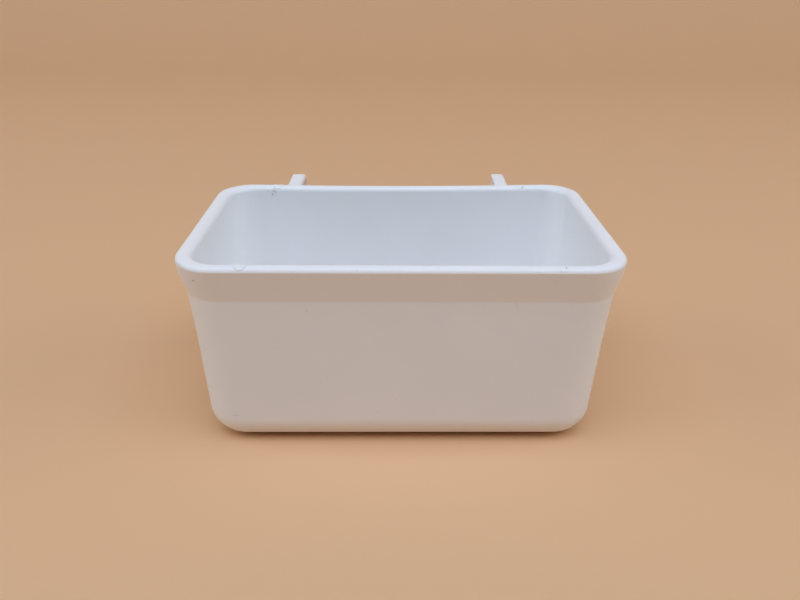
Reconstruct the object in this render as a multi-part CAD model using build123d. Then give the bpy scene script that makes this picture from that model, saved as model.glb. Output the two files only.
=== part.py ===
from build123d import *
import os
from math import radians, tan

# Cage feeding bowl: a tapered, round-cornered trough with a turned-out rim,
# and two flat hooks on its rear rim that hang it on a cage wall.
# Millimetres. X runs along the bowl, +Y is the hook side, +Z is up.
# The origin is the middle of the flat underside.

# Bowl
rim_length = 145.0
rim_depth = 87.0
bowl_height = 70.0
wall = 2.4
floor_thickness = 2.2
draft_angle = 2.25
wall_corner_radius = 13.2
base_edge_radius = 11.0

# Rim
rim_width = 4.3
rim_thickness = 1.7
rim_corner_radius = 13.5
rim_outer_rounding = 1.3
rim_inner_rounding = 2.2

# Flare that thickens the wall under the rim
flare_height = 11.0
rim_overhang = 0.4

# Ejector lands, which follow the rim's rounded top
land_diameter = 4.0
land_rise = 0.2
land_spacing = 99.5

# Hooks
hook_spacing = 85.4
hook_width = 5.1
hook_thickness = 2.0
hook_gap = 14.0
hook_drop = 18.0
hook_bend_radius = 1.4
hook_edge_radius = 0.35
hook_outboard_radius = 1.4
hook_root_length = 1.7

# The inner wall runs straight from the rim's inner edge down to the floor
wall_top_inset = rim_width - wall
rim_underside = bowl_height - rim_thickness
flare_start = rim_underside - flare_height
hook_root_face = rim_depth / 2
arm_middle = bowl_height - hook_thickness / 2


def wall_inset(height):
    """Distance from the rim's edge in to the wall's outer face at a height."""
    return wall_top_inset + (bowl_height - height) * tan(radians(draft_angle))


def tapered_block(inset, corner_radius, edge_radius, bottom, top):
    """Block that widens upwards at the draft angle, with round corners and a round lower edge."""
    height = top - bottom
    spread = height * tan(radians(draft_angle))
    length = rim_length - 2 * inset + 2 * spread
    depth = rim_depth - 2 * inset + 2 * spread
    upside_down = (-90, 0, 0)
    block = Wedge(length, height, depth, spread, spread, length - spread, depth - spread, rotation=upside_down)
    block = Pos(0, 0, (bottom + top) / 2) * block
    corners = block.edges().filter_by(lambda edge: abs(edge.tangent_at(0.5).Z) > 0.5)
    block = fillet(corners, corner_radius)
    return fillet(block.edges().group_by(Axis.Z)[0], edge_radius)


def rim_outline(inset, height):
    """Plan of the rim, drawn in from its edge by an inset."""
    length = rim_length - 2 * inset
    depth = rim_depth - 2 * inset
    return Pos(0, 0, height) * RectangleRounded(length, depth, rim_corner_radius - inset)


def make_outside():
    """Solid shape of the walls, the flare and the rim."""
    walls = tapered_block(wall_inset(0), wall_corner_radius, base_edge_radius, 0, flare_start)
    flare_foot = walls.faces().sort_by(Axis.Z)[-1]
    flare = loft([flare_foot, rim_outline(rim_overhang, rim_underside)], ruled=True)
    rim = extrude(rim_outline(0, rim_underside), rim_thickness)
    rim = fillet(rim.edges().group_by(Axis.Z)[-1], rim_outer_rounding)
    return walls + flare + rim


def make_hollow():
    """Space that holds the feed, open at the top."""
    inset = wall_inset(floor_thickness) + wall
    above_rim = bowl_height + rim_thickness
    return tapered_block(inset, wall_corner_radius - wall, base_edge_radius - wall, floor_thickness, above_rim)


def make_ejector_lands(body):
    """Round lands that the mould's ejector pins leave proud of the rim: the rim's own top, raised a little."""
    middle = rim_depth / 2 - rim_width / 2
    pin = Cylinder(land_diameter / 2, rim_thickness, align=(Align.CENTER, Align.CENTER, Align.MAX))
    places = [(side * land_spacing / 2, y) for side in (-1, 1) for y in (-middle, middle)]
    return [Pos(0, 0, land_rise) * (body & (Pos(x, y, bowl_height) * pin)) for x, y in places]


def hook_section():
    """Strip of a hook, flush with the rim's top, its upper edges round and its lower edges crisp."""
    strip = Rectangle(hook_width, hook_thickness)
    strip = fillet(strip.vertices().group_by(Axis.Y)[-1], hook_edge_radius)
    start = Plane(origin=(0, hook_root_face, arm_middle), x_dir=(-1, 0, 0), z_dir=(0, 1, 0))
    return start * strip


def make_hook_roots():
    """Flat-ended stubs at the rear rim that the hooks grow from."""
    root = extrude(hook_section(), -hook_root_length)
    return [Pos(side * hook_spacing / 2) * root for side in (-1, 1)]


def make_bowl():
    body = make_outside() - make_hollow()
    mouth = body.faces().sort_by(Axis.Z)[-1].inner_wires()[0]
    body = fillet(mouth.edges(), rim_inner_rounding)
    for piece in make_ejector_lands(body) + make_hook_roots():
        body += piece
    return body


def make_hook(side):
    """Arm straight back from the rim, then a leg down behind the cage wire."""
    tip = bowl_height - hook_drop
    leg_middle = hook_root_face + hook_gap + hook_thickness / 2
    path = FilletPolyline(
        (hook_root_face, arm_middle),
        (leg_middle, arm_middle),
        (leg_middle, tip),
        radius=hook_bend_radius,
    )
    hook = sweep(hook_section(), path=Plane.YZ * path)
    reach = hook_gap + hook_thickness
    plan = Pos(0, hook_root_face + reach / 2) * Rectangle(hook_width, reach)
    rear_corners = plan.vertices().group_by(Axis.Y)[-1].sort_by(Axis.X)
    plan = fillet(rear_corners[0 if side < 0 else -1], hook_outboard_radius)
    hook &= extrude(Pos(0, 0, tip) * plan, hook_drop)
    return Pos(side * hook_spacing / 2) * hook


nodes = {
    "bowl": make_bowl(),
    "left_hook": make_hook(-1),
    "right_hook": make_hook(1),
}

os.makedirs("parts", exist_ok=True)
for name, shape in nodes.items():
    export_step(shape, f"parts/{name}.step")
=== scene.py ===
from math import copysign, cos, pi, radians, sin, sqrt, tan

import bmesh
import bpy
from mathutils import Matrix, Vector


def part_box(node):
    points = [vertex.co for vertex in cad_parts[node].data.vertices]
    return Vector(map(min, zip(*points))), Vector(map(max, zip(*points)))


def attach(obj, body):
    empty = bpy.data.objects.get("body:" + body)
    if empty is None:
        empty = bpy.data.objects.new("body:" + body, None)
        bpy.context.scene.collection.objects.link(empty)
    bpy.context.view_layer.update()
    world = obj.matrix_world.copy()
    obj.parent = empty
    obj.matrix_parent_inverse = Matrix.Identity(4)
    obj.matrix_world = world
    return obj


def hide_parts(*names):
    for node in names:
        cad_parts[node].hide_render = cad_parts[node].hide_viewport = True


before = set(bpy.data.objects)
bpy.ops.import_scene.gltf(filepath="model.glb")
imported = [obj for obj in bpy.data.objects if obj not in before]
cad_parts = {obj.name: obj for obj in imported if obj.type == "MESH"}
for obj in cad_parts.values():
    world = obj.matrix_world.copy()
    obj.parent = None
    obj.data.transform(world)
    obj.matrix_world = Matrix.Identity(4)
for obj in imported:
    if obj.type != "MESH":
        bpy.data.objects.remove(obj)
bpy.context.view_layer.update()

# The bowl, in metres. The frame gives the outer sizes.
MM = 0.001
bowl_low, bowl_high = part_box("bowl")
LAND_RISE = 0.2 * MM
RIM_LENGTH = bowl_high.x - bowl_low.x
RIM_DEPTH = bowl_high.y - bowl_low.y
RIM_TOP = bowl_high.z - LAND_RISE
WALL = 2.4 * MM
FLOOR_TOP = 2.2 * MM
DRAFT = radians(2.25)
WALL_CORNER = 13.2 * MM
BASE_EDGE = 11.0 * MM

# The rim and the flare under it
RIM_WIDTH = 4.3 * MM
RIM_UNDERSIDE = RIM_TOP - 1.55 * MM
RIM_CORNER = 13.5 * MM
RIM_ROUNDING = 1.85 * MM
MOUTH_ROUNDING = 1.9 * MM
LIP_LEAN = radians(12)
LIP_EDGE = 0.3 * MM
FLARE_START = RIM_UNDERSIDE - 11.0 * MM
FLARE_SOFTENING = 3.0 * MM

# At its two ends the rim is wider than along its sides, and the wall is fuller outside, most in the flare.
# The fullness fades out downwards over one height, and inwards over the first part of the lip.
END_RIM_WIDENING = 0.75 * MM
END_LIP_FULLNESS = 0.25 * MM
END_WALL_FULLNESS = 0.15 * MM
END_FLARE_FULLNESS = 0.55 * MM
FULLEST_HEIGHT = RIM_UNDERSIDE - 7.0 * MM
FULLNESS_FADE = 20.0 * MM
LIP_FADE = 0.4 * MM

# How far the rear rim has drawn in as the moulding cooled: at its middle, how much less at both ends,
# and how much more at the left end than at the middle
REAR_DRAW = 1.45 * MM
REAR_BOW = 2.8 * MM
REAR_SKEW = 0.98 * MM

# The mesh of the bowl: the spacing of its points on straight runs, how near one stands to each arc,
# how many go round, and the rings by which the underside and the floor close on the middle.
# The outline's corners are drawn in steps, and points closer than the merge distance become one.
BOWL_POINT_SPACING = 2.2 * MM
BOWL_POINT_MARGIN = 0.12 * MM
BOWL_POINTS_ROUND = 320
BOWL_CLOSING = [0.85, 0.6, 0.35, 0.15, 0.0]
OUTLINE_CORNER_STEPS = 24
MERGE_DISTANCE = 0.005 * MM

# The ejector lands on the rim, and how far each stands proud, by its side and its edge of the rim.
# A land follows most of the lip's rounding, and its top is dished: (distance in, depth).
LAND_DIAMETER = 4.0 * MM
LAND_CORNER = LAND_DIAMETER / 2.01
LAND_SPACING = 99.5 * MM
LAND_DEPTH = 0.8 * MM
LAND_FOLLOW = 0.85
LAND_EDGE = 0.07 * MM
LAND_SHOULDER = (0.5 * MM, 0.02 * MM)
LAND_SHOULDER_ROUNDING = 0.4 * MM
LAND_DISH = (0.8 * MM, 0.06 * MM)
LAND_RISES = {(-1, -1): 0.15 * MM, (-1, 1): 0.2 * MM, (1, -1): 0.05 * MM, (1, 1): 0.08 * MM}
LAND_POINT_SPACING = 0.3 * MM
LAND_POINT_MARGIN = 0.02 * MM
LAND_POINTS_ROUND = 40
LAND_CLOSING = [0.5, 0.0]

# The hooks, which cooled a little unalike: each one's middle along the bowl and its leg's rear face,
# how far its leg stands to the right of its arm, and how far its outboard rear corner is cut back
HOOK_PLACES = {
    "left_hook": (-43.4 * MM, 58.2 * MM, 0.5 * MM, 0.8 * MM),
    "right_hook": (42.3 * MM, 59.4 * MM, 0.9 * MM, 0.1 * MM),
}
HOOK_WIDTH = 5.5 * MM
HOOK_THICKNESS = 2.0 * MM
HOOK_TIP = RIM_TOP - 18.0 * MM
HOOK_UPPER_EDGE = 0.9 * MM
HOOK_LOWER_EDGE = 0.3 * MM
HOOK_OUTER_BEND = 1.6 * MM
HOOK_INNER_BEND = 0.3 * MM
HOOK_TIP_ROUNDING = 0.5 * MM
HOOK_CORNER_DEPTH = 1.6 * MM
HOOK_POINT_SPACING = 1.2 * MM
HOOK_POINT_MARGIN = 0.05 * MM
HOOK_BEND_MARGIN = 0.1 * MM
HOOK_BEND_STEPS = 8
HOOK_TIP_STEPS = 4
HOOK_LEG_SHARES = (0, 0.33, 0.66, 1)

# A hook's root, which is filleted where it leaves the rim's face: how deep it starts inside the rim,
# how far it is sunk there, and its stations as shares of the fillet
HOOK_ROOT_LENGTH = 2.2 * MM
HOOK_ROOT_SINK = 0.04 * MM
HOOK_ROOT_FILLET = 0.35 * MM
HOOK_ROOT_SHARES = (-1.9, -1.4, -0.9, -0.4, 0, 0.1, 0.25, 0.5, 0.75, 1)

# The camera that fits the photograph: metres, radians and photograph pixels
PHOTO_WIDTH = 800
FOCAL_PIXELS = 698.0
SENSOR_WIDTH = 36.0
CAMERA_CLIP = 0.01
CAMERA_PLACE = Vector((-3.6, -237.8, 156.8)) * MM
CAMERA_PITCH = 0.4643
CAMERA_YAW = 0.0153
CAMERA_ROLL = -0.0090

# The softboxes, all aimed at the bowl: place, width and height, watts, and colour
LAMP_TARGET = (0.0, 0.0, 0.03)
LAMPS = {
    "overhead": ((0.0, -0.6, 2.0), (3.0, 1.5), 39.0, (0.69, 0.81, 1.0)),
    "left": ((-2.2, -0.3, 1.3), (1.6, 1.4), 13.0, (0.92, 0.99, 1.0)),
    "right": ((2.2, -0.3, 1.3), (1.6, 1.4), 13.1, (0.95, 1.0, 0.98)),
    "front": ((0.0, -1.2, 1.8), (2.4, 1.2), 3.5, (1.0, 0.8, 0.7)),
}
WORLD_COLOUR = (0.9, 0.94, 1.0, 1.0)
WORLD_LEVEL = 0.03

# The backdrop, in metres: the front and back of its level floor, the bend up into its wall, and its size
BACKDROP_FRONT = -1.5
BACKDROP_BACK = 0.8
BACKDROP_BEND = 0.5
BACKDROP_BEND_STEPS = 24
BACKDROP_HEIGHT = 1.6
BACKDROP_HALF_WIDTH = 3.0
BACKDROP_ROUGHNESS = 0.7

# Colours, as linear values
PLASTIC_WHITE = (0.955, 0.957, 0.963, 1.0)
PLASTIC_CLOUDED = (0.93, 0.931, 0.934, 1.0)
# One dark colour for the painted shade of the land creases and of the stroke beside a land, and for the dirt
# of the marks
DIRT_AND_PAINTED_SHADE = (0.28, 0.275, 0.27, 1.0)
BACKDROP_COLOUR = (0.78, 0.475, 0.26, 1.0)

# The plastic's skin: the spark-eroded grain of the mould, the slow ripple of a cooled wall, and its clouding
GRAIN_SIZE = 0.45 * MM
GRAIN_DEPTH = 0.004 * MM
RIPPLE_SIZE = 17.0 * MM
RIPPLE_DEPTH = 0.05 * MM
CLOUD_SIZE = 28.0 * MM
NOISE_MIDDLE = (0.3, 0.7)
CLOUD_ROUGHNESS = (0.37, 0.43)
GRAIN_ROUGHNESS = (-0.02, 0.02)
DIRT_AND_SHADE_ROUGHNESS = 0.25

# The creases round the ejector lands, and how dark the painted shade in each is, by its side and its edge of
# the rim
CREASE_WIDTH = 0.16 * MM
CREASE_REACH = 0.8 * MM
CREASE_DEPTH = 0.06 * MM
CREASE_SHADE_TONES = {(-1, -1): 0.22, (-1, 1): 0.2, (1, -1): 0.04, (1, 1): 0.14}

# The ring that the gate leaves in the middle of the underside
GATE_RADIUS = 3.0 * MM
GATE_REACH = 0.5 * MM
GATE_TONE = 0.12

# The marks' edges: the share of a mark at full strength, and the size and depth of its ragged outline
MARK_CORE = 0.45
MARK_RAG_SIZE = 0.7 * MM
MARK_RAG_DEPTH = 0.45 * MM
SCRATCH_DEPTH = 0.03 * MM

# Small marks of use, and one stroke of painted shade, in millimetres: middle, half sizes, turn on the wall in
# degrees, and how dark
MARKS = [
    # On the front wall: specks, a long faint scratch and a short one
    ((-64.6, -41.4, 64.9), (0.5, 2.0, 0.42), 0, 0.45),
    ((-30.2, -41.1, 54.4), (0.55, 2.0, 0.45), 0, 0.14),
    ((36.4, -41.2, 56.7), (0.3, 2.0, 2.8), 14, 0.1),
    ((-57.1, -39.4, 12.5), (1.8, 2.0, 0.3), 4, 0.19),
    ((-7.6, -39.4, 14.1), (0.3, 2.0, 0.3), 0, 0.2),
    ((-1.6, -39.6, 19.5), (0.3, 2.0, 0.3), 0, 0.16),
    ((-46.4, -39.5, 16.5), (0.3, 2.0, 0.3), 0, 0.18),
    # On the front lip
    ((-14.0, -43.0, 69.3), (0.4, 0.6, 0.4), 0, 0.25),
    ((50.5, -42.1, 69.9), (0.45, 0.6, 0.4), 0, 0.45),
    ((48.7, -43.0, 69.25), (0.4, 0.6, 0.4), 0, 0.2),
    # On the inside of the rear wall: a curled hairline by the rear left land, and a speck
    ((-51.2, 38.6, 68.9), (0.7, 2.0, 0.3), -40, 0.34),
    ((-51.4, 38.4, 68.1), (1.2, 2.0, 0.33), -20, 0.5),
    ((-50.7, 38.4, 67.7), (0.35, 2.0, 0.55), 0, 0.34),
    ((-52.1, 38.4, 66.85), (0.45, 2.0, 0.95), -5, 0.43),
    ((-51.4, 38.4, 67.2), (0.55, 2.0, 0.3), 0, 0.22),
    ((-51.2, 38.4, 66.4), (0.35, 2.0, 0.35), 0, 0.15),
    ((-53.65, 38.5, 67.9), (0.4, 2.0, 0.3), 0, 0.22),
    ((18.3, 37.4, 38.4), (0.35, 2.0, 0.35), 0, 0.1),
    # A short stroke of painted shade beside the rear right land, where its step is
    ((50.95, 40.4, 69.6), (1.3, 1.1, 0.28), 38, 0.52),
]


def place(tree, kind, *sources, named=None, **settings):
    """Adds a node and fills its inputs, in order or by name, each from a socket or a value."""
    node = tree.nodes.new(kind)
    for key, value in settings.items():
        setattr(node, key, value)
    pairs = list(zip(node.inputs, sources))
    pairs += [(node.inputs[name], source) for name, source in (named or {}).items()]
    for socket, source in pairs:
        if isinstance(source, bpy.types.NodeSocket):
            tree.links.new(source, socket)
        else:
            socket.default_value = source
    return node


def math(tree, operation, *sources):
    return place(tree, "ShaderNodeMath", *sources, operation=operation).outputs[0]


def vector_math(tree, operation, *sources):
    return place(tree, "ShaderNodeVectorMath", *sources, operation=operation).outputs[0]


def whole_math(tree, operation, *sources):
    return place(tree, "FunctionNodeIntegerMath", *sources, operation=operation).outputs[0]


def scaled(tree, vector, factor):
    return place(tree, "ShaderNodeVectorMath", vector, named={"Scale": factor}, operation="SCALE").outputs[0]


def vector_length(tree, vector):
    return place(tree, "ShaderNodeVectorMath", vector, operation="LENGTH").outputs["Value"]


def combined(tree, x, y, z):
    return place(tree, "ShaderNodeCombineXYZ", x, y, z).outputs[0]


def separated(tree, vector):
    return place(tree, "ShaderNodeSeparateXYZ", vector).outputs


def declare(tree, direction, **names_by_kind):
    """Gives a node tree named inputs or outputs."""
    for kind, names in names_by_kind.items():
        for name in names:
            tree.interface.new_socket(name, in_out=direction, socket_type="NodeSocket" + kind)


# The sections, as points of (inset, height, corner radius)


def wall_inset(height):
    """Distance from the rim's edge in to the wall's outer face at a height."""
    return RIM_WIDTH - WALL + (RIM_TOP - height) * tan(DRAFT)


def lip_lean():
    """How far the lip's face leans in between its lower edge and the level of the rim's top."""
    return (RIM_TOP - RIM_UNDERSIDE) * tan(LIP_LEAN)


def rounded(before, corner, after, radius, steps):
    """Arc that rounds one corner of a section."""
    back = (before - corner) / (before - corner).xy.length
    onward = (after - corner) / (after - corner).xy.length
    angle = back.xy.angle(onward.xy)
    turn = pi - angle
    centre = corner + (back + onward) * radius / sin(angle)
    start = corner + back * radius / tan(angle / 2) - centre
    end = corner + onward * radius / tan(angle / 2) - centre
    shares = [step / steps for step in range(steps + 1)]
    return [centre + (start * sin((1 - s) * turn) + end * sin(s * turn)) / sin(turn) for s in shares]


def stretch(start, end, spacing, margin):
    """Points between two arcs, with one close to each arc so that the shading stays flat between them."""
    length = (end - start).xy.length
    if length < 4 * margin:
        return []
    count = max(1, round((length - 2 * margin) / spacing))
    shares = [(margin + (length - 2 * margin) * step / count) / length for step in range(count + 1)]
    return [start.lerp(end, share) for share in shares]


def rounded_section(corners, spacing, margin):
    """Section through sharp corners, each given as (point, rounding, steps); the two ends stay sharp."""
    points = [corners[0][0]]
    for before, (corner, radius, steps), after in zip(corners, corners[1:], corners[2:]):
        arc = rounded(before[0], corner, after[0], radius, steps)
        points += stretch(points[-1], arc[0], spacing, margin) + arc
    return points + stretch(points[-1], corners[-1][0], spacing, margin) + [corners[-1][0]]


def end_draw(inset, height):
    """How far a point of the section moves towards the bowl's middle at its two ends."""
    through = min(max((inset - wall_inset(height)) / WALL, 0), 1)
    above = max(height - FULLEST_HEIGHT, 0) / (RIM_UNDERSIDE - FULLEST_HEIGHT)
    below = min(max(FULLEST_HEIGHT - height, 0) / FULLNESS_FADE, 1)
    rise = END_FLARE_FULLNESS * (1 - below * below * (3 - 2 * below))
    fullness = (END_WALL_FULLNESS + rise) * max(1 - above * above, 0)
    if height > RIM_UNDERSIDE:
        fullness = END_LIP_FULLNESS * min(inset / LIP_FADE, 1)
    return END_RIM_WIDENING * height / RIM_TOP * through - min(fullness, inset) * (1 - through)


def bowl_section():
    """Underside, outer wall, flare, rim, inner wall and floor."""
    outer_foot = wall_inset(0)
    inner_foot = wall_inset(FLOOR_TOP) + WALL
    inner_corner = WALL_CORNER - WALL
    inner_edge = BASE_EDGE - WALL
    lean = lip_lean()
    corners = [
        (Vector((outer_foot + BASE_EDGE, 0, WALL_CORNER - BASE_EDGE)), 0, 0),
        (Vector((outer_foot, 0, WALL_CORNER)), BASE_EDGE, 14),
        (Vector((wall_inset(FLARE_START), FLARE_START, WALL_CORNER)), FLARE_SOFTENING, 3),
        (Vector((0, RIM_UNDERSIDE, RIM_CORNER)), LIP_EDGE, 3),
        (Vector((lean, RIM_TOP, RIM_CORNER - lean)), RIM_ROUNDING, 8),
        (Vector((RIM_WIDTH, RIM_TOP, inner_corner)), MOUTH_ROUNDING, 6),
        (Vector((inner_foot, FLOOR_TOP, inner_corner)), inner_edge, 14),
        (Vector((inner_foot + inner_edge, FLOOR_TOP, inner_corner - inner_edge)), 0, 0),
    ]
    return rounded_section(corners, BOWL_POINT_SPACING, BOWL_POINT_MARGIN)


def land_section():
    """Side and slightly dished top of an ejector land."""
    radius = LAND_DIAMETER / 2
    top = RIM_TOP + LAND_RISE
    shoulder, shoulder_depth = LAND_SHOULDER
    dish, dish_depth = LAND_DISH
    corners = [
        (Vector((0, top - LAND_DEPTH, radius)), 0, 0),
        (Vector((0, top, radius)), LAND_EDGE, 3),
        (Vector((shoulder, top - shoulder_depth, radius - shoulder)), LAND_SHOULDER_ROUNDING, 2),
        (Vector((dish, top - dish_depth, radius - dish)), 0, 0),
    ]
    return rounded_section(corners, LAND_POINT_SPACING, LAND_POINT_MARGIN)


def section_piece(name, section, closing_shares, draw=None):
    """Object whose mesh is a section that closes on the middle by the shares, with each point's end draw."""
    first, last = section[0], section[-1]
    points = [first] * len(closing_shares) + section + [last] * len(closing_shares)
    gathers = closing_shares[::-1] + [1.0] * len(section) + closing_shares
    draws = [draw(point.x, point.y) if draw else 0.0 for point in points]
    mesh = bpy.data.meshes.new(name)
    mesh.from_pydata(points, [(i, i + 1) for i in range(len(points) - 1)], [])
    mesh.attributes.new("gather", "FLOAT", "POINT").data.foreach_set("value", gathers)
    mesh.attributes.new("end_draw", "FLOAT", "POINT").data.foreach_set("value", draws)
    piece = bpy.data.objects.new(name, mesh)
    bpy.context.scene.collection.objects.link(piece)
    return piece


def sampled(tree, geometry, field, index, data_type):
    """A field's value at one point of another geometry."""
    settings = {"data_type": data_type, "domain": "POINT"}
    return place(tree, "GeometryNodeSampleIndex", geometry, field, index, **settings).outputs[0]


def section_round_outline():
    """Geometry Nodes tree that carries a section round an outline with round corners and closes both ends."""
    tree = bpy.data.node_groups.new("section_round_outline", "GeometryNodeTree")
    declare(tree, "INPUT", Geometry=["Section"], Float=["Length", "Depth", "Corner Radius"])
    declare(tree, "INPUT", Int=["Points Round"], Object=["Places"], Material=["Material"])
    declare(tree, "OUTPUT", Geometry=["Geometry"])
    given = tree.nodes.new("NodeGroupInput").outputs
    radius = given["Corner Radius"]
    counted = place(tree, "GeometryNodeAttributeDomainSize", given["Section"], component="MESH").outputs
    rows = counted["Point Count"]

    # The outline, evenly divided
    box = place(tree, "GeometryNodeCurvePrimitiveQuadrilateral", given["Length"], given["Depth"]).outputs[0]
    corner = {"Count": OUTLINE_CORNER_STEPS, "Radius": radius}
    outline = place(tree, "GeometryNodeFilletCurve", box, named=corner, mode="POLY").outputs[0]
    count = {"Count": given["Points Round"]}
    outline = place(tree, "GeometryNodeResampleCurve", outline, named=count, mode="COUNT").outputs[0]

    # A grid whose columns go round the outline and whose rows follow the section
    columns = whole_math(tree, "ADD", given["Points Round"], 1)
    grid = place(tree, "GeometryNodeMeshGrid", 1.0, 1.0, columns, rows).outputs["Mesh"]
    index = place(tree, "GeometryNodeInputIndex").outputs[0]
    row = whole_math(tree, "MODULO", index, rows)
    column = whole_math(tree, "MODULO", whole_math(tree, "DIVIDE_FLOOR", index, rows), given["Points Round"])
    position = place(tree, "GeometryNodeInputPosition").outputs[0]
    at_column = sampled(tree, outline, position, column, "FLOAT_VECTOR")
    at_row = sampled(tree, given["Section"], position, row, "FLOAT_VECTOR")
    row_values = {}
    for name in ("gather", "end_draw"):
        field = place(tree, "GeometryNodeInputNamedAttribute", name, data_type="FLOAT").outputs[0]
        row_values[name] = sampled(tree, given["Section"], field, row, "FLOAT")

    # Each point is a corner's centre plus the corner radius along the outline's normal
    half = scaled(tree, combined(tree, given["Length"], given["Depth"], 0.0), 0.5)
    core = vector_math(tree, "SUBTRACT", half, combined(tree, radius, radius, -1.0))
    side = vector_math(tree, "MINIMUM", vector_math(tree, "DIVIDE", at_column, core), (1, 1, 1))
    side = vector_math(tree, "MAXIMUM", side, (-1, -1, -1))
    normal = vector_math(tree, "SUBTRACT", at_column, vector_math(tree, "MULTIPLY", side, core))
    normal = scaled(tree, normal, math(tree, "DIVIDE", 1.0, radius))
    section = separated(tree, at_row)
    reach = math(tree, "ADD", section["X"], section["Z"])
    end_reach = math(tree, "ADD", reach, row_values["end_draw"])
    centre = vector_math(tree, "SUBTRACT", half, combined(tree, end_reach, reach, 0.0))
    centre = vector_math(tree, "MULTIPLY", centre, side)
    outward = scaled(tree, normal, section["Z"])
    level = separated(tree, scaled(tree, vector_math(tree, "ADD", centre, outward), row_values["gather"]))
    point = combined(tree, level["X"], level["Y"], section["Y"])
    shaped = place(tree, "GeometryNodeSetPosition", grid, named={"Position": point}).outputs[0]
    merge = {"Distance": MERGE_DISTANCE}
    closed = place(tree, "GeometryNodeMergeByDistance", shaped, named=merge).outputs[0]
    closed = place(tree, "GeometryNodeSetShadeSmooth", closed, named={"Shade Smooth": True}).outputs[0]

    # A copy at each place
    spots = place(tree, "GeometryNodeObjectInfo", given["Places"]).outputs["Geometry"]
    copies = place(tree, "GeometryNodeInstanceOnPoints", spots, named={"Instance": closed}).outputs[0]
    copies = place(tree, "GeometryNodeRealizeInstances", copies).outputs[0]
    material = {"Material": given["Material"]}
    copies = place(tree, "GeometryNodeSetMaterial", copies, named=material).outputs[0]
    place(tree, "NodeGroupOutput", copies)
    return tree


def places_object(name, points):
    """Loose points that a shape is copied to."""
    mesh = bpy.data.meshes.new(name)
    mesh.from_pydata(points, [], [])
    spots = bpy.data.objects.new(name, mesh)
    bpy.context.scene.collection.objects.link(spots)
    return spots


def grow(piece, tree, points, values):
    """Runs a tree on a piece at some points, then keeps the result as the piece's plain mesh."""
    spots = places_object(piece.name + "_places", points)
    modifier = piece.modifiers.new(tree.name, "NODES")
    modifier.node_group = tree
    sockets = {item.name: item.identifier for item in tree.interface.items_tree if item.in_out == "INPUT"}
    for name, value in {**values, "Places": spots}.items():
        modifier[sockets[name]] = value
    evaluated = piece.evaluated_get(bpy.context.evaluated_depsgraph_get())
    mesh = bpy.data.meshes.new_from_object(evaluated)
    piece.modifiers.clear()
    piece.data = mesh
    bpy.data.objects.remove(spots)


def drawn_in(x, y, z):
    """How far a place has moved forward: most at the rear rim's middle, nothing at the foot."""
    along = x / (RIM_LENGTH / 2)
    back = min(max(y / (RIM_DEPTH / 2 - RIM_WIDTH), 0), 1)
    at_rim = REAR_DRAW - REAR_BOW * along * along - REAR_SKEW * along
    return at_rim * back * z / RIM_TOP


def draw_in(piece):
    for vertex in piece.data.vertices:
        vertex.co.y -= drawn_in(*vertex.co)


def lip_drop(inset):
    """How far the rim's rounded top lies below its flat, at a distance in from the rim's edge."""
    crown = lip_lean() + RIM_ROUNDING * tan(pi / 4 - LIP_LEAN / 2)
    outer = min(max(crown - inset, 0), RIM_ROUNDING)
    inner = min(max(MOUTH_ROUNDING - (RIM_WIDTH - inset), 0), MOUTH_ROUNDING)
    outer_drop = RIM_ROUNDING - sqrt(RIM_ROUNDING ** 2 - outer ** 2)
    inner_drop = MOUTH_ROUNDING - sqrt(MOUTH_ROUNDING ** 2 - inner ** 2)
    return outer_drop + inner_drop


def make_bowl(tree, material):
    piece = section_piece("bowl_shell", bowl_section(), BOWL_CLOSING, end_draw)
    sizes = {"Length": RIM_LENGTH, "Depth": RIM_DEPTH, "Corner Radius": RIM_CORNER}
    grow(piece, tree, [(0, 0, 0)], {**sizes, "Points Round": BOWL_POINTS_ROUND, "Material": material})
    draw_in(piece)
    return piece


def make_ejector_lands(tree, material):
    """Lands that follow the lip's rounding, each proud of it by its own rise."""
    middle = RIM_DEPTH / 2 - RIM_WIDTH / 2
    points = [(side * LAND_SPACING / 2, edge * middle, 0) for side, edge in LAND_RISES]
    piece = section_piece("ejector_lands", land_section(), LAND_CLOSING)
    sizes = {"Length": LAND_DIAMETER, "Depth": LAND_DIAMETER, "Corner Radius": LAND_CORNER}
    grow(piece, tree, points, {**sizes, "Points Round": LAND_POINTS_ROUND, "Material": material})
    for vertex in piece.data.vertices:
        x, y, z = vertex.co
        rise = LAND_RISES[copysign(1, x), copysign(1, y)] - LAND_RISE
        vertex.co.z += rise - LAND_FOLLOW * lip_drop(RIM_DEPTH / 2 - abs(y))
    draw_in(piece)
    return piece


def quarter_turn(steps):
    """Sine and cosine of the angles that divide a quarter turn evenly."""
    angles = [step / steps * pi / 2 for step in range(steps + 1)]
    return [(sin(angle), cos(angle)) for angle in angles]


def hook_outline():
    """Closed cross-section of a hook, as (sideways, up) from its middle."""
    half, rise = HOOK_WIDTH / 2, HOOK_THICKNESS / 2
    corners = [
        (Vector((0, -rise, 0)), 0, 0),
        (Vector((half, -rise, 0)), HOOK_LOWER_EDGE, 3),
        (Vector((half, rise, 0)), HOOK_UPPER_EDGE, 6),
        (Vector((-half, rise, 0)), HOOK_UPPER_EDGE, 6),
        (Vector((-half, -rise, 0)), HOOK_LOWER_EDGE, 3),
        (Vector((0, -rise, 0)), 0, 0),
    ]
    return rounded_section(corners, HOOK_POINT_SPACING, HOOK_POINT_MARGIN)[:-1]


def root_flare(share):
    """How far the arm spreads sideways, at a share of the fillet's length from the rim's face."""
    fillet = HOOK_ROOT_FILLET
    if share < 0:
        return fillet * (1 - share / HOOK_ROOT_SHARES[0])
    return fillet - sqrt(fillet ** 2 - (fillet * (1 - share)) ** 2)


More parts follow.
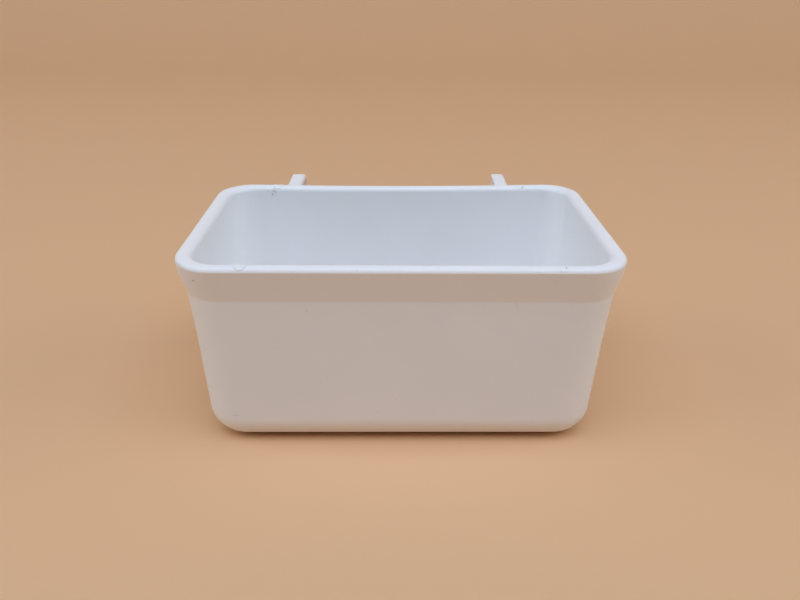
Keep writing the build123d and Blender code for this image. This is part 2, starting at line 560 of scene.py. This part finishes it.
def hook_stations(middle, rear_face):
    """Where a hook's cross-section stands: its lower and upper side as (y, z), its inset and its flare."""
    rim_face = RIM_DEPTH / 2 - drawn_in(middle, RIM_DEPTH / 2, RIM_TOP)
    underside = RIM_TOP - HOOK_THICKNESS

    # The arm starts inside the rim, a hair under its flat top
    start = Vector((rim_face - HOOK_ROOT_LENGTH, -HOOK_ROOT_SINK))
    stations = [(Vector((0, underside)) + start, Vector((0, RIM_TOP)) + start, 0, 0)]
    for share in HOOK_ROOT_SHARES:
        y = rim_face + share * HOOK_ROOT_FILLET
        stations.append((Vector((y, underside)), Vector((y, RIM_TOP)), 0, root_flare(share)))

    # The bend: the outer side turns on a larger radius than the inner one
    inner = Vector((rear_face - HOOK_THICKNESS - HOOK_INNER_BEND, underside - HOOK_INNER_BEND))
    outer = Vector((rear_face - HOOK_OUTER_BEND, RIM_TOP - HOOK_OUTER_BEND))
    lead = Vector((HOOK_BEND_MARGIN, 0))
    up = Vector((0, 1))
    stations.append((inner + up * HOOK_INNER_BEND - lead, outer + up * HOOK_OUTER_BEND - lead, 0, 0))
    for out in map(Vector, quarter_turn(HOOK_BEND_STEPS)):
        stations.append((inner + out * HOOK_INNER_BEND, outer + out * HOOK_OUTER_BEND, 0, 0))

    # The leg, and its rounded tip
    front, end = rear_face - HOOK_THICKNESS, HOOK_TIP + HOOK_TIP_ROUNDING
    leg_top = outer.y - HOOK_BEND_MARGIN
    levels = [(leg_top + (end + HOOK_BEND_MARGIN - leg_top) * share, 0) for share in HOOK_LEG_SHARES]
    for sine, cosine in quarter_turn(HOOK_TIP_STEPS):
        levels.append((end - HOOK_TIP_ROUNDING * sine, HOOK_TIP_ROUNDING * (1 - cosine)))
    levels.append((HOOK_TIP, HOOK_TIP_ROUNDING + HOOK_POINT_MARGIN))
    return stations + [(Vector((front, z)), Vector((rear_face, z)), inset, 0) for z, inset in levels]


def shape_hook_end(mesh, middle, rear_face, leg_shift, corner_cut):
    """Cuts the outboard rear corner back in plan, and sets the leg to one side of the arm."""
    for vertex in mesh.vertices:
        x, y, z = vertex.co
        across = x - middle
        behind = min(max((y - rear_face) / HOOK_CORNER_DEPTH + 1, 0), 1)
        if across * middle > 0:
            across *= 1 - corner_cut * (1 - sqrt(1 - behind * behind)) / (HOOK_WIDTH / 2)
        along = min(max((y - rear_face + HOOK_THICKNESS) / HOOK_OUTER_BEND + 1, 0), 1)
        below = min(max((RIM_TOP - z) / HOOK_OUTER_BEND, 0), 1)
        vertex.co.x = middle + across + leg_shift * along * below


def make_hook(name, material):
    """Hook whose cross-section is lofted from station to station."""
    middle, rear_face, leg_shift, corner_cut = HOOK_PLACES[name]
    half, rise = HOOK_WIDTH / 2, HOOK_THICKNESS / 2
    outline = hook_outline()
    shape = bmesh.new()
    rings = []
    for lower, upper, inset, flare in hook_stations(middle, rear_face):
        centre, up = (lower + upper) / 2, (upper - lower) / 2
        wide, tall = 1 + (flare - inset) / half, (1 - inset / rise) / rise
        spots = [(middle + p.x * wide, *(centre + up * p.y * tall)) for p in outline]
        rings.append([shape.verts.new(spot) for spot in spots])
    for ring, onward in zip(rings, rings[1:]):
        for i in range(len(ring)):
            shape.faces.new((ring[i - 1], ring[i], onward[i], onward[i - 1]))
    shape.faces.new(rings[0])
    shape.faces.new(rings[-1])
    bmesh.ops.recalc_face_normals(shape, faces=shape.faces)
    mesh = bpy.data.meshes.new(name + "_moulding")
    shape.to_mesh(mesh)
    shape.free()
    shape_hook_end(mesh, middle, rear_face, leg_shift, corner_cut)
    mesh.shade_smooth()
    mesh.materials.append(material)
    piece = bpy.data.objects.new(name + "_moulding", mesh)
    bpy.context.scene.collection.objects.link(piece)
    return piece


# The camera, the lights and the backdrop


def make_camera():
    level_share = cos(CAMERA_PITCH)
    forward = Vector((sin(CAMERA_YAW) * level_share, cos(CAMERA_YAW) * level_share, -sin(CAMERA_PITCH)))
    level = Vector((cos(CAMERA_YAW), -sin(CAMERA_YAW), 0))
    down = forward.cross(level)
    right = level * cos(CAMERA_ROLL) + down * sin(CAMERA_ROLL)
    up = level * sin(CAMERA_ROLL) - down * cos(CAMERA_ROLL)
    data = bpy.data.cameras.new("photo_camera")
    data.sensor_width = SENSOR_WIDTH
    data.lens = FOCAL_PIXELS * SENSOR_WIDTH / PHOTO_WIDTH
    data.clip_start = CAMERA_CLIP
    camera = bpy.data.objects.new("photo_camera", data)
    turn = Matrix((right, up, -forward)).transposed()
    camera.matrix_world = Matrix.Translation(CAMERA_PLACE) @ turn.to_4x4()
    bpy.context.scene.collection.objects.link(camera)
    bpy.context.scene.camera = camera


def add_softbox(name, spot, size, power, colour):
    data = bpy.data.lights.new(name, "AREA")
    data.shape = "RECTANGLE"
    data.size, data.size_y = size
    data.energy = power
    data.color = colour
    lamp = bpy.data.objects.new(name, data)
    lamp.location = spot
    lamp.rotation_euler = (Vector(LAMP_TARGET) - Vector(spot)).to_track_quat("-Z", "Y").to_euler()
    bpy.context.scene.collection.objects.link(lamp)


def make_lights():
    world = bpy.data.worlds.new("studio")
    world.use_nodes = True
    background = world.node_tree.nodes["Background"].inputs
    background["Color"].default_value = WORLD_COLOUR
    background["Strength"].default_value = WORLD_LEVEL
    bpy.context.scene.world = world
    for name, settings in LAMPS.items():
        add_softbox(name, *settings)
    bpy.context.scene.view_settings.view_transform = "Standard"


def make_backdrop():
    """A floor that curves up into a wall behind the object."""
    line = [(BACKDROP_FRONT, 0.0), (BACKDROP_BACK, 0.0)]
    for sine, cosine in quarter_turn(BACKDROP_BEND_STEPS)[1:]:
        line.append((BACKDROP_BACK + BACKDROP_BEND * sine, BACKDROP_BEND * (1 - cosine)))
    line.append((BACKDROP_BACK + BACKDROP_BEND, BACKDROP_HEIGHT))
    points = [(x, y, z) for y, z in line for x in (-BACKDROP_HALF_WIDTH, BACKDROP_HALF_WIDTH)]
    faces = [(2 * i, 2 * i + 1, 2 * i + 3, 2 * i + 2) for i in range(len(line) - 1)]
    mesh = bpy.data.meshes.new("backdrop")
    mesh.from_pydata(points, [], faces)
    mesh.shade_smooth()
    backdrop = bpy.data.objects.new("backdrop", mesh)
    bpy.context.scene.collection.objects.link(backdrop)
    material = bpy.data.materials.new("backdrop_paper")
    material.use_nodes = True
    paper = material.node_tree.nodes["Principled BSDF"].inputs
    paper["Base Color"].default_value = BACKDROP_COLOUR
    paper["Roughness"].default_value = BACKDROP_ROUGHNESS
    mesh.materials.append(material)


# The plastic


def noise(tree, vector, scale, detail):
    named = {"Scale": scale, "Detail": detail, "Roughness": 0.5}
    return place(tree, "ShaderNodeTexNoise", vector, named=named).outputs


def spread(tree, value, low, high):
    """Stretches a noise's middle range over a range of values."""
    return place(tree, "ShaderNodeMapRange", value, *NOISE_MIDDLE, low, high).outputs[0]


def moulded_skin():
    """Group for a moulded surface: clouding of its tone, change of its roughness, and its height."""
    tree = bpy.data.node_groups.new("moulded_skin", "ShaderNodeTree")
    sizes = ["Grain Size", "Grain Depth", "Ripple Size", "Ripple Depth", "Cloud Size"]
    declare(tree, "INPUT", Vector=["Vector"], Float=sizes)
    declare(tree, "OUTPUT", Float=["Cloud", "Roughness", "Height"])
    given = tree.nodes.new("NodeGroupInput").outputs
    layers = {}
    for name, detail in (("Grain", 2.0), ("Ripple", 0.5), ("Cloud", 3.0)):
        scale = math(tree, "DIVIDE", 1.0, given[name + " Size"])
        layers[name] = noise(tree, given["Vector"], scale, detail)[0]
    cloud = spread(tree, layers["Cloud"], 0.0, 1.0)
    cloud_roughness = spread(tree, layers["Cloud"], *CLOUD_ROUGHNESS)
    grain_roughness = spread(tree, layers["Grain"], *GRAIN_ROUGHNESS)
    roughness = math(tree, "ADD", cloud_roughness, grain_roughness)
    grain = math(tree, "MULTIPLY", layers["Grain"], given["Grain Depth"])
    ripple = math(tree, "MULTIPLY", layers["Ripple"], given["Ripple Depth"])
    place(tree, "NodeGroupOutput", cloud, roughness, math(tree, "ADD", grain, ripple))
    return tree


def surface_mark():
    """Group for one soft-edged oval mark, turned about Y."""
    tree = bpy.data.node_groups.new("surface_mark", "ShaderNodeTree")
    declare(tree, "INPUT", Vector=["Vector", "Middle", "Half Size"], Float=["Turn"])
    declare(tree, "OUTPUT", Float=["Mask"])
    given = tree.nodes.new("NodeGroupInput").outputs
    offset = vector_math(tree, "SUBTRACT", given["Vector"], given["Middle"])
    angle = {"Angle": given["Turn"]}
    turned = place(tree, "ShaderNodeVectorRotate", offset, named=angle, rotation_type="Y_AXIS").outputs[0]
    distance = vector_length(tree, vector_math(tree, "DIVIDE", turned, given["Half Size"]))
    fade = {"interpolation_type": "SMOOTHSTEP"}
    mask = place(tree, "ShaderNodeMapRange", distance, 1.0, MARK_CORE, 0.0, 1.0, **fade).outputs[0]
    place(tree, "NodeGroupOutput", mask)
    return tree


def crease_ring():
    """Group for the crease round a disc that lies level, kept to its own height."""
    tree = bpy.data.node_groups.new("crease_ring", "ShaderNodeTree")
    declare(tree, "INPUT", Vector=["Vector", "Middle"], Float=["Radius", "Width", "Reach"])
    declare(tree, "OUTPUT", Float=["Mask"])
    given = tree.nodes.new("NodeGroupInput").outputs
    offset = vector_math(tree, "SUBTRACT", given["Vector"], given["Middle"])
    distance = vector_length(tree, vector_math(tree, "MULTIPLY", offset, (1, 1, 0)))
    from_ring = math(tree, "ABSOLUTE", math(tree, "SUBTRACT", distance, given["Radius"]))
    ring = place(tree, "ShaderNodeMapRange", from_ring, given["Width"], 0.0, 0.0, 1.0).outputs[0]
    height = separated(tree, offset)["Z"]
    near = math(tree, "LESS_THAN", math(tree, "ABSOLUTE", height), given["Reach"])
    place(tree, "NodeGroupOutput", math(tree, "MULTIPLY", ring, near))
    return tree


def strongest(tree, at, group, masks):
    """The strongest of several masks that one group makes, each given as (its inputs, how dark)."""
    total = 0.0
    for named, tone in masks:
        mask = place(tree, "ShaderNodeGroup", at, node_tree=group, named=named).outputs[0]
        total = math(tree, "MAXIMUM", total, math(tree, "MULTIPLY", mask, tone))
    return total


def crease(middle, radius, reach):
    return {"Middle": middle, "Radius": radius, "Width": CREASE_WIDTH, "Reach": reach}


def all_creases():
    """The crease round each ejector land, with its painted shade, and the ring of the gate."""
    rim_middle = RIM_DEPTH / 2 - RIM_WIDTH / 2
    crease_shade_and_gate = []
    for (side, edge), tone in CREASE_SHADE_TONES.items():
        x, y = side * LAND_SPACING / 2, edge * rim_middle
        middle = (x, y - drawn_in(x, y, RIM_TOP), RIM_TOP)
        crease_shade_and_gate.append((crease(middle, LAND_DIAMETER / 2, CREASE_REACH), tone))
    return crease_shade_and_gate + [(crease((0.0, 0.0, 0.0), GATE_RADIUS, GATE_REACH), GATE_TONE)]


def all_marks():
    marks = []
    for middle, half_size, turn, tone in MARKS:
        named = {"Middle": Vector(middle) * MM, "Half Size": Vector(half_size) * MM, "Turn": radians(turn)}
        marks.append((named, tone))
    return marks


def moulded_plastic():
    material = bpy.data.materials.new("white_moulded_plastic")
    material.use_nodes = True
    tree = material.node_tree
    plastic = tree.nodes["Principled BSDF"].inputs
    at = place(tree, "ShaderNodeTexCoord").outputs["Object"]
    sizes = {"Grain Size": GRAIN_SIZE, "Grain Depth": GRAIN_DEPTH, "Ripple Size": RIPPLE_SIZE}
    sizes |= {"Ripple Depth": RIPPLE_DEPTH, "Cloud Size": CLOUD_SIZE}
    skin = place(tree, "ShaderNodeGroup", at, node_tree=moulded_skin(), named=sizes).outputs

    # Painted shade in the creases round the lands, the gate's ring, and marks with slightly ragged edges
    crease_shade_and_gate = strongest(tree, at, crease_ring(), all_creases())
    rag = noise(tree, at, 1 / MARK_RAG_SIZE, 1.0)["Color"]
    rag = scaled(tree, vector_math(tree, "SUBTRACT", rag, (0.5, 0.5, 0.5)), MARK_RAG_DEPTH)
    marks = strongest(tree, vector_math(tree, "ADD", at, rag), surface_mark(), all_marks())

    # Colour, roughness and relief
    tones = {6: PLASTIC_WHITE, 7: PLASTIC_CLOUDED}
    clouded = place(tree, "ShaderNodeMix", skin["Cloud"], data_type="RGBA", named=tones).outputs[2]
    # The painted shade of the creases and of the stroke by a land, and the dirt of the marks, darken the
    # colour together
    dirt_and_shade = math(tree, "MAXIMUM", crease_shade_and_gate, marks)
    colour = place(tree, "ShaderNodeMix", dirt_and_shade, data_type="RGBA", named={6: clouded, 7: DIRT_AND_PAINTED_SHADE}).outputs[2]
    roughness = math(tree, "ADD", skin["Roughness"], math(tree, "MULTIPLY", dirt_and_shade, DIRT_AND_SHADE_ROUGHNESS))
    crease_depth = math(tree, "MULTIPLY", crease_shade_and_gate, CREASE_DEPTH)
    mark_depth = math(tree, "MULTIPLY", marks, SCRATCH_DEPTH)
    carved = math(tree, "ADD", crease_depth, mark_depth)
    height = math(tree, "SUBTRACT", skin["Height"], carved)
    relief = place(tree, "ShaderNodeBump", named={"Height": height, "Distance": 1.0, "Strength": 1.0})
    tree.links.new(colour, plastic["Base Color"])
    tree.links.new(roughness, plastic["Roughness"])
    tree.links.new(relief.outputs[0], plastic["Normal"])
    return material


plastic = moulded_plastic()
outline_tree = section_round_outline()
bowl = make_bowl(outline_tree, plastic)
lands = make_ejector_lands(outline_tree, plastic)
hooks = {name: make_hook(name, plastic) for name in HOOK_PLACES}
for piece in (bowl, lands, *hooks.values()):
    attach(piece, "root")
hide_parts("bowl")
for name, hook in hooks.items():
    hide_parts(name)

make_camera()
make_lights()
make_backdrop()
